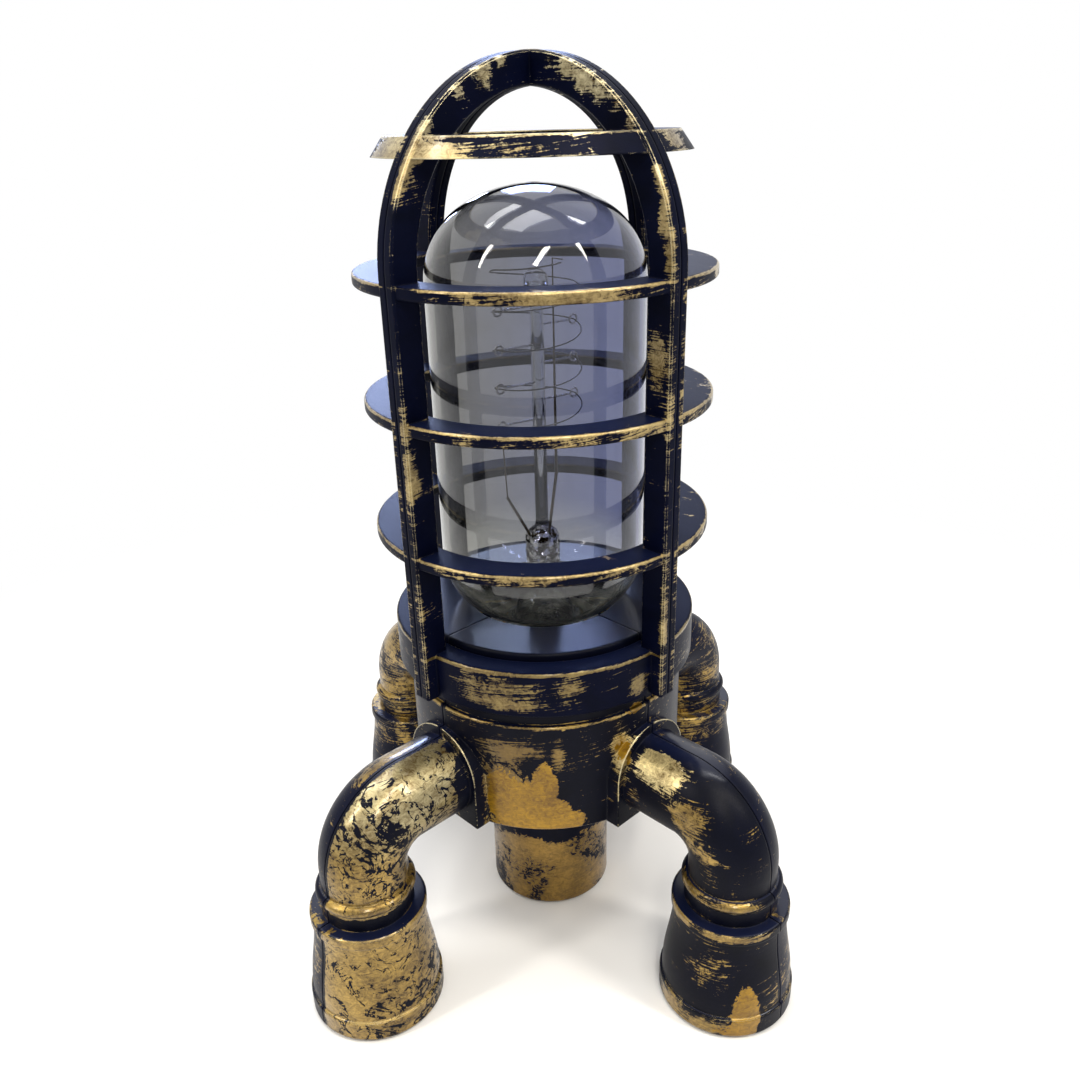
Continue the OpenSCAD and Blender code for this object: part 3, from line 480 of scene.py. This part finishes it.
flare = arc((PRESS_R + FLARE_BEND_R, FLARE_BEND_Z), FLARE_BEND_R, 218, 180, steps=8)
flare_end_r, flare_end_z = flare[-1]
outline = [(0, FLARE_ROOF), (flare_end_r - FLARE_WALL, flare_end_z)]
outline += [(r - FLARE_WALL, z) for r, z in reversed(flare[:-1])]
outline += [(FLARE_R - FLARE_WALL, stem_foot), (FLARE_R, stem_foot)] + flare
outline += [(PRESS_R, PRESS_TOP - 1.5), (PRESS_R - 0.8, PRESS_TOP), (ROD_R + 0.4, PRESS_TOP + 2)]
outline += [(ROD_R, PRESS_TOP + 4), (ROD_R, stem_top - 4)]
outline += arc((0, stem_top - BUTTON_R), BUTTON_R, -35, 90, steps=10)
stem = lathe("stem_glass", outline, sides=48)
hollow = [(0, BORE_FOOT), (BORE_R, BORE_FOOT + 2), (BORE_R, BORE_TOP - 1), (0, BORE_TOP)]
lathe("rod_bore", hollow, sides=32)
# The bore's faces look inwards, away from the glass
bpy.ops.object.mode_set(mode="EDIT")
bpy.ops.mesh.select_all(action="SELECT")
bpy.ops.mesh.flip_normals()
bpy.ops.object.mode_set(mode="OBJECT")
stem.select_set(True)
bpy.context.view_layer.objects.active = stem
bpy.ops.object.join()

# Drawn glass is clear, and the pinched press turns mirror-like in tilted facets of about 1 mm, each painted
# light or dark as a glint
FACETS_A_MM = 0.95
drawn_glass, tree, shader, mm = start_material("stem_glass", IOR=1.5)
height = add(tree, "SeparateXYZ", {0: mm}).outputs["Z"]
press_middle = PRESS_TOP + 2 - PRESS_H / 2
from_press = add(tree, "Math", {0: height, 1: press_middle}, operation="SUBTRACT").outputs[0]
from_press = add(tree, "Math", {0: from_press}, operation="ABSOLUTE").outputs[0]
pinched = add(tree, "MapRange", {"Value": from_press, "From Min": PRESS_H / 2 + 1,
                                 "From Max": PRESS_H / 2 - 1}).outputs[0]
facets = add(tree, "TexVoronoi", {"Vector": mm, "Scale": FACETS_A_MM}).outputs["Color"]
tilt = add(tree, "VectorMath", {0: facets, 1: (0.5, 0.5, 0.5)}, operation="SUBTRACT").outputs[0]
tilt = add(tree, "VectorMath", {0: tilt, "Scale": pinched}, operation="SCALE").outputs[0]
face = add(tree, "NewGeometry").outputs["Normal"]
faceted = add(tree, "VectorMath", {0: face, 1: tilt}, operation="ADD").outputs[0]
faceted = add(tree, "VectorMath", {0: faceted}, operation="NORMALIZE").outputs[0]
# Each facet is painted light or dark, as a glint
shade = add(tree, "SeparateXYZ", {0: facets}).outputs["X"]
shade = add(tree, "MapRange", {"Value": shade, "From Min": 0.25, "From Max": 0.6}).outputs[0]
glints = add(tree, "Mix", {SHARE: shade, COLOUR_A: linear("#2a1d0e"), COLOUR_B: linear("#fffdf6")},
             data_type="RGBA").outputs[COLOUR]
colour = add(tree, "Mix", {SHARE: pinched, COLOUR_A: linear("#f0f1ef"), COLOUR_B: glints},
             data_type="RGBA").outputs[COLOUR]
clear = add(tree, "MapRange", {"Value": pinched, "To Min": 1.0, "To Max": 0.0}).outputs[0]
dull = add(tree, "Math", {0: pinched, 1: 0.1}, operation="MULTIPLY").outputs[0]
mirror = add(tree, "Math", {0: pinched, 1: 0.9}, operation="MULTIPLY").outputs[0]
feed(tree, shader, Base_Color=colour, Roughness=dull, Transmission_Weight=clear, Metallic=mirror,
     Normal=faceted)
take_place(stem, "bulb_stem", "bulb", drawn_glass)

# Filament: drawn tungsten wire, wound up round the rod in four and a quarter turns.
# It hangs on the hooks at each half turn and sags a little in between.
FILAMENT_T = 0.4
SPIRAL_R = 13.5
SPIRAL_START = 215
SPIRAL_TURNS = 4.25
SPIRAL_PITCH = 11.2
SPIRAL_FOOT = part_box("bulb_filament")[0].z / MM + 0.2
STEPS_A_TURN = 72
SAG = 0.9


def wires(name, runs, thick, stout=()):
    """Round wires along runs of places in millimetres, as one mesh.
    Stout gives each place's share of the thickness."""
    bpy.ops.object.select_all(action="DESELECT")
    bpy.ops.curve.primitive_nurbs_path_add()
    piece = bpy.context.object
    piece.name = name
    piece.data.splines.clear()
    for run in runs:
        spline = piece.data.splines.new("POLY")
        spline.points.add(len(run) - 1)
        for index, (point, place) in enumerate(zip(spline.points, run)):
            point.co = (place[0] * MM, place[1] * MM, place[2] * MM, 1)
            point.radius = stout[index] if stout else 1.0
    piece.data.bevel_depth = thick / 2 * MM
    piece.data.bevel_resolution = 2
    piece.data.use_fill_caps = True
    bpy.ops.object.convert(target="MESH")
    bpy.ops.object.shade_smooth()
    return bpy.context.object


def polar(radius, angle, height):
    """A place from its distance to the bulb's axis, its angle in degrees and its height."""
    return (radius * math.cos(math.radians(angle)), radius * math.sin(math.radians(angle)), height)


winding = []
for step in range(round(SPIRAL_TURNS * STEPS_A_TURN) + 1):
    turns = step / STEPS_A_TURN
    drop = SAG * abs(math.sin(2 * math.pi * turns))
    winding.append(polar(SPIRAL_R - drop, SPIRAL_START + 360 * turns, SPIRAL_FOOT + SPIRAL_PITCH * turns - drop))
filament = wires("tungsten_filament", [winding], FILAMENT_T)
# Tungsten gives a dark grey line with small glints
tungsten = unpainted("tungsten", "#4a4742", "#8c887f", rough=0.3, metal=1.0)
take_place(filament, "bulb_filament", "bulb", tungsten)

# Hooks: molybdenum wires, pushed into the soft glass of the rod.
# Each ends in a small eye, a little over a turn, that holds the filament.
HOOKS = 7
HOOK_T = 0.6
HOOK_ROOT_R = ROD_R - 0.6
EYE_R = 1.4
EYE_LEAN = 0.01
hooks = []
for half_turn in range(HOOKS):
    angle = SPIRAL_START + 180 * half_turn
    height = SPIRAL_FOOT + SPIRAL_PITCH * half_turn / 2
    run = [polar(HOOK_ROOT_R, angle, height), polar(SPIRAL_R - EYE_R - 0.6, angle, height)]
    run += [polar(r, angle + EYE_LEAN * z, z) for r, z in arc((SPIRAL_R, height), EYE_R, 180, 560, steps=14)]
    hooks.append(run)
# Molybdenum gives a pale, bright line
molybdenum = unpainted("molybdenum", "#a09d97", "#e4e1da", rough=0.25, metal=1.0)
take_place(wires("support_hooks", hooks, HOOK_T), "bulb_hooks", "bulb", molybdenum)

# Leads: two nickel wires that are sealed into the press and carry the ends of the filament.
# The short one goes to its foot and the long one to its top, each stout below and thin above.
LEAD_T = 0.6
LEAD_STOUT = (1.6, 1.6, 0.7, 0.7)
LEAD_ROOT_R = 2.75
LEAD_ROOT = PRESS_TOP - 4
LEAD_FORK = SPIRAL_FOOT - 23
SHORT_LEAD_R = SPIRAL_R - 1
LONG_LEAD_R = 8.5
SPIRAL_TOP = SPIRAL_FOOT + SPIRAL_PITCH * SPIRAL_TURNS
SPIRAL_END = SPIRAL_START + 360 * SPIRAL_TURNS
short_lead = [polar(LEAD_ROOT_R, SPIRAL_START, LEAD_ROOT), polar(SHORT_LEAD_R, SPIRAL_START, LEAD_FORK),
              polar(SHORT_LEAD_R, SPIRAL_START, LEAD_FORK + 0.4), polar(SPIRAL_R, SPIRAL_START, SPIRAL_FOOT)]
long_lead = [polar(LEAD_ROOT_R, SPIRAL_END, LEAD_ROOT), polar(LONG_LEAD_R, SPIRAL_END, LEAD_FORK + 8),
             polar(LONG_LEAD_R, SPIRAL_END, SPIRAL_TOP), polar(SPIRAL_R, SPIRAL_END, SPIRAL_TOP)]
leads = wires("lead_wires", [short_lead, long_lead], LEAD_T, stout=LEAD_STOUT)
# Nickel that has been in the flame gives a brownish grey shine
nickel_wire = unpainted("nickel_wire", "#4a4032", "#9c917c", rough=0.28, metal=1.0)
take_place(leads, "bulb_leads", "bulb", nickel_wire)

# Bulb glass: a clear envelope, blown in a mould and sealed to the flare of the stem.
# It has a full bowl, straight sides and a round crown, and its neck is cemented in the cap.
glass_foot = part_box("bulb_glass")[0].z / MM
glass_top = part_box("bulb_glass")[1].z / MM
GLASS_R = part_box("bulb_glass")[1].x / MM
GLASS_T = 1.0
NECK_R = 11.75
NECK_H = 4
BOWL_R = 20
BOWL_Z = glass_foot + 29.8
SHOULDER_R = 24
CROWN_R = 40
CROWN_Z = glass_top - CROWN_R
shoulder_z = CROWN_Z + math.sqrt((CROWN_R - SHOULDER_R) ** 2 - (GLASS_R - SHOULDER_R) ** 2)
shoulder_end = math.degrees(math.atan2(shoulder_z - CROWN_Z, GLASS_R - SHOULDER_R))


def envelope(inset):
    """The bulb's outline from its neck to its top, inset from the outside."""
    neck = [(NECK_R - inset, glass_foot), (NECK_R - inset, glass_foot + NECK_H)]
    bowl = arc((GLASS_R - BOWL_R, BOWL_Z), BOWL_R - inset, -70, 0, steps=16)
    shoulder = arc((GLASS_R - SHOULDER_R, shoulder_z), SHOULDER_R - inset, 0, shoulder_end, steps=14)
    crown = arc((0, CROWN_Z), CROWN_R - inset, shoulder_end, 90, steps=10)
    return neck + bowl + shoulder + crown[1:]


outside = envelope(0)
bulb = lathe("bulb_envelope", outside + envelope(GLASS_T)[::-1] + outside[:1], sides=128)

# Blown glass is clear and slightly wavy, and its tint is a painted reflection of a room: grey on the left,
# bluish on the right and paler in the bowl, which is also a little milky.
# Its wall lets 80 percent of the light through each millimetre, so the bulb's edges darken.
WAVE = (26, 26, 40)
WAVE_RELIEF = 0.25
SMUDGE = (14, 14, 22)
LET_THROUGH = 0.8
blown_glass, tree, shader, mm = start_material("blown_glass", IOR=1.47)
split = add(tree, "SeparateXYZ", {0: mm})
side = add(tree, "MapRange", {"Value": split.outputs["X"], "From Min": -GLASS_R, "From Max": GLASS_R}).outputs[0]
low = add(tree, "MapRange", {"Value": split.outputs["Z"], "From Min": BOWL_Z + 6,
                             "From Max": BOWL_Z - 12}).outputs[0]
# The tint is a painted reflection of a room: grey on the left, bluish on the right, paler in the bowl
colour = add(tree, "Mix", {SHARE: side, COLOUR_A: linear("#c2c1bb"), COLOUR_B: linear("#b2b8d8")},
             data_type="RGBA").outputs[COLOUR]
colour = add(tree, "Mix", {SHARE: low, COLOUR_A: colour, COLOUR_B: linear("#eeeee2")},
             data_type="RGBA").outputs[COLOUR]
clear = add(tree, "MapRange", {"Value": low, "To Min": 1.0, "To Max": 0.97}).outputs[0]
waves = marks(tree, mm, WAVE, detail=2.0)
smudges = marks(tree, mm, SMUDGE, detail=4.0, rough=0.6, warp=0.8)
dull = add(tree, "MapRange", {"Value": smudges, "From Min": 0.55, "From Max": 0.8,
                              "To Min": 0.0, "To Max": 0.015}).outputs[0]
relief = add(tree, "Bump", {"Height": waves, "Strength": 1.0, "Distance": WAVE_RELIEF * MM}).outputs[0]
feed(tree, shader, Base_Color=colour, Roughness=dull, Transmission_Weight=clear, Normal=relief)
smoke = add(tree, "VolumeAbsorption", {"Color": (0, 0, 0, 1), "Density": -math.log(LET_THROUGH) / MM})
ends = [node for node in tree.nodes if node.type == "OUTPUT_MATERIAL"]
tree.links.new(smoke.outputs[0], ends[0].inputs["Volume"])
take_place(bulb, "bulb_glass", "bulb", blown_glass)

# Cage: four quarter mouldings of the same ABS, parted along the middle of the ribs.
# It slips over the base's spigot and lifts off to change the bulb.
BAND_TOP = 113.0
RING_TOPS = (145.2, 184.2, 219.8, 253.9)
RING_RIM = (51.0, 0.14)
ring_edges = tuple(((0, 0, top - 0.3), (ALL_ROUND, ALL_ROUND, 0.6), 0.45) for top in RING_TOPS)
cage_patches = ring_edges + (
    bare_groove,
    ((0, 0, BAND_TOP - 0.7), (ALL_ROUND, ALL_ROUND, 0.7), 0.8),     # edge of the band, and its bare inside
    ((0, 0, BAND_TOP - 0.7), (47, 47, 3), -3.0),
    ((-15, -45, 106), (20, 12, 9), 0.5),         # band: front, right, back and left
    ((-8, -47, 102), (22, 12, 3), 0.35),
    ((8, -47.5, 107), (8, 8, 5), 0.5),
    ((28, -39.5, 103), (5, 6, 6), 0.6),
    ((47, 8, 105), (12, 28, 9), 0.4),
    ((6, 47, 105), (28, 12, 9), 0.4),
    ((-47, -6, 105), (12, 26, 9), 0.4),
    ((8, -51, 218), (34, 8, 5), 0.55),           # front of the third ring
    ((-3, -51, 144), (14, 8, 4), 0.3),           # front of the lowest ring
    ((55, 5, 184), (25, 40, 80), 0.3),           # rings: more on the right, less on the left
    ((-55, 5, 184), (25, 40, 80), -0.35),
    ((-38, -38, 218), (12, 12, 36), -0.4),       # left rib, nearly bare above
    ((36, -37, 160), (9, 9, 26), -0.25),         # right rib, nearly bare below
    ((32, -36, 199), (5, 5, 12), 0.6),           # inside and edge of the right rib
    ((31, -35, 245), (2.5, 2.5, 6), 0.6),
    ((32.3, -36.6, 236), (2.5, 2.5, 9), 0.6),
    ((33.6, -38, 226), (2.5, 2.5, 8), 0.6),
    ((35.5, -38.5, 125), (3, 3, 16), 0.4),
    ((-34, -38, 170), (4, 4, 10), 0.55),         # left rib
    ((-35, -38, 184), (3, 3, 6), 0.5),
    ((-7, -11.4, 270.7), (3, 3, 3), 0.55),       # left arm of the dome, down past the crown ring
    ((-11.6, -16, 267.2), (5, 5, 5), 0.65),
    ((-17.3, -21.7, 263.7), (3, 3, 3), 0.5),
    ((-25.6, -29.2, 256.3), (3.5, 3.5, 4), 0.7),
    ((-29.3, -31.6, 251), (5, 5, 5), 0.8),
    ((-31, -33.7, 246.7), (3.5, 3.5, 6), 0.7),
    ((-33.3, -35, 241.4), (3, 3, 6), 0.6),
    ((5.1, -9.5, 270.5), (3.5, 3.5, 3), 0.4),    # right arm of the dome, along its edge
    ((9.3, -13.7, 268.4), (4.5, 4.5, 4), 0.65),
    ((13.7, -18.1, 265.9), (5, 5, 4.5), 0.7),
    ((17.5, -21.9, 263.2), (4.5, 4.5, 4.5), 0.65),
    ((21.2, -25.6, 260), (4, 4, 4.5), 0.6),
    ((24.4, -28.8, 256), (3.5, 3.5, 4.5), 0.6),
    ((-37, -21, 250.5), (10, 12, 6), 1.1),       # crown ring: its ends and its front
    ((36.6, -20, 251.5), (9, 10, 5), 0.8),
    ((-23.6, -35, 250.8), (8, 7, 5), 0.85),
    ((-17.3, -39, 250.3), (7, 6, 3), 0.4),
    ((-2, -42, 251), (16, 8, 2.5), 0.3),
)
cage_tints = (
    ((0, 0, BAND_TOP - 9), (ALL_ROUND, ALL_ROUND, 18), "#7e6c3c"),     # band
    ((0, 0, 268), (ALL_ROUND, ALL_ROUND, 20), "#d8cca4"),              # dome
)
# The cage is a deep blue-black, and its paler gold lies mostly along the rims of the rings
cage_finish = dry_brushed("painted_abs_cage", cover=-0.28, edge_gain=0.6, rim=RING_RIM, top_gain=-0.3,
                          polish=0.04, body="#070c26", light_gold="#ad9763", patches=cage_patches,
                          tints=cage_tints)
dress(cage_finish, "cage_front", "cage_right", "cage_rear", "cage_left")

# Floor and air: a sheet of pale paper that runs out into white, in a white room.
# Both shine as white to the eye, and in gloss and glass, and light the lamp no more for that.
FLOOR_SIZE = 40.0
FADE_START = 140.0
FADE_END = 420.0
ROOM_LIGHT = 0.45


def looked_at(tree):
    """1 for what the eye sees straight, in a gloss or through glass, and 0 for light that falls on things."""
    path = add(tree, "LightPath")
    seen = path.outputs["Is Camera Ray"]
    for kind in ("Is Glossy Ray", "Is Transmission Ray"):
        seen = add(tree, "Math", {0: seen, 1: path.outputs[kind]}, operation="MAXIMUM").outputs[0]
    return seen


bpy.ops.object.select_all(action="DESELECT")
bpy.ops.mesh.primitive_plane_add(size=FLOOR_SIZE, location=(0, 0, 0))
floor = bpy.context.object
floor.name = "studio_floor"
# Matt paper gives an even white that keeps the lamp's shadow
paper, tree, shader, mm = start_material("white_paper", Base_Color=linear("#f2f2f2"), Roughness=0.9)
away = add(tree, "VectorMath", {0: mm}, operation="LENGTH").outputs["Value"]
fade = add(tree, "MapRange", {"Value": away, "From Min": FADE_START, "From Max": FADE_END},
           interpolation_type="SMOOTHSTEP").outputs[0]
fade = add(tree, "Math", {0: fade, 1: looked_at(tree)}, operation="MULTIPLY").outputs[0]
glow = add(tree, "Emission", {"Strength": 1.0})
sheet = add(tree, "MixShader", {0: fade, 1: shader.outputs[0], 2: glow.outputs[0]})
add(tree, "OutputMaterial", {"Surface": sheet.outputs[0]}, is_active_output=True)
floor.data.materials.append(paper)

world = bpy.data.worlds.new("studio")
bpy.context.scene.world = world
world.use_nodes = True
tree = world.node_tree
tree.nodes.clear()
strength = add(tree, "MapRange", {"Value": looked_at(tree), "To Min": ROOM_LIGHT, "To Max": 1.0}).outputs[0]
air = add(tree, "Background", {"Color": (1, 1, 1, 1), "Strength": strength})
add(tree, "OutputWorld", {"Surface": air.outputs[0]})

# Studio lights: long tubes and a softbox round the lamp, which draw its streaks of gloss.
# Two panels behind it only lend the deck and the rings a blue sheen.

# Name, place, width and length in metres, turn in degrees, power in watts and colour
lamps = (("front_tube", (0.16, -0.6, 0.95), 0.08, 0.8, -35, 6.0, "#fff8ec"),
         ("right_tube", (0.55, -0.3, 0.85), 0.06, 0.6, 0, 4.0, "#fff8ec"),
         ("left_tube", (-0.7, -0.4, 0.8), 0.06, 0.5, 0, 3.5, "#fff8ec"),
         ("top_softbox", (-0.2, 0.2, 1.3), 0.7, 0.7, 0, 8.0, "#ffffff"),
         ("ceiling_tube_1", (-0.6, 0.1, 1.1), 0.08, 0.4, 30, 1.5, "#ffffff"),
         ("ceiling_tube_2", (0.4, 0.2, 1.1), 0.08, 0.4, -30, 1.5, "#ffffff"),
         ("deck_panel", (-0.05, 1.2, 0.85), 0.32, 0.5, 0, 6.5, "#b4c8ff"),
         ("ring_panel", (-0.34, 1.2, 0.51), 0.28, 0.16, 0, 4.2, "#b4c8ff"))
aim = Vector((0, 0, 0.12))
for name, spot, width, length, turn, power, colour in lamps:
    bpy.ops.object.light_add(type="AREA", location=spot)
    lamp = bpy.context.object
    lamp.name = name
    lamp.data.shape = "RECTANGLE"
    lamp.data.size = width
    lamp.data.size_y = length
    lamp.data.energy = power
    lamp.data.color = linear(colour)[:3]
    facing = (aim - Vector(spot)).to_track_quat("-Z", "Y").to_matrix()
    lamp.rotation_euler = (facing @ Matrix.Rotation(math.radians(turn), 3, "Z")).to_euler()
    # The lights show in gloss and, apart from the rings' panel, in the bulb, but not to the eye itself
    lamp.visible_camera = False
    lamp.visible_diffuse = not name.endswith("panel")
    lamp.visible_transmission = name != "ring_panel"

# Camera: close in front of the lamp, a little above its middle, and tilted down.
# Lengths are in metres and angles in radians, and the lens is set in pixels of a square image.
CAMERA_AWAY = 0.283
CAMERA_HEIGHT = 0.2569
CAMERA_ROUND = 0.0199
CAMERA_TILT = 0.4245
CAMERA_ROLL = -0.0272
IMAGE_PX = 1080
FOCUS_PX = 960.5
CENTRE_OFF_PX = (3.0, 13.2)
bpy.ops.object.camera_add()
camera = bpy.context.object
forward = Vector((0, math.cos(CAMERA_TILT), -math.sin(CAMERA_TILT)))
level_up = Vector((0, math.sin(CAMERA_TILT), math.cos(CAMERA_TILT)))
across = Vector((math.cos(CAMERA_ROLL), 0, 0)) + math.sin(CAMERA_ROLL) * level_up
upright = Vector((-math.sin(CAMERA_ROLL), 0, 0)) + math.cos(CAMERA_ROLL) * level_up
facing = Matrix((across, upright, -forward)).transposed().to_4x4()
standing = Matrix.Translation((0, -CAMERA_AWAY, CAMERA_HEIGHT)) @ facing
camera.matrix_world = Matrix.Rotation(CAMERA_ROUND, 4, "Z") @ standing
camera.data.sensor_width = 36.0
camera.data.lens = camera.data.sensor_width * FOCUS_PX / IMAGE_PX
camera.data.shift_x = -CENTRE_OFF_PX[0] / IMAGE_PX
camera.data.shift_y = CENTRE_OFF_PX[1] / IMAGE_PX
camera.data.clip_start = 0.01
bpy.context.scene.camera = camera
bpy.context.scene.view_settings.view_transform = "Standard"
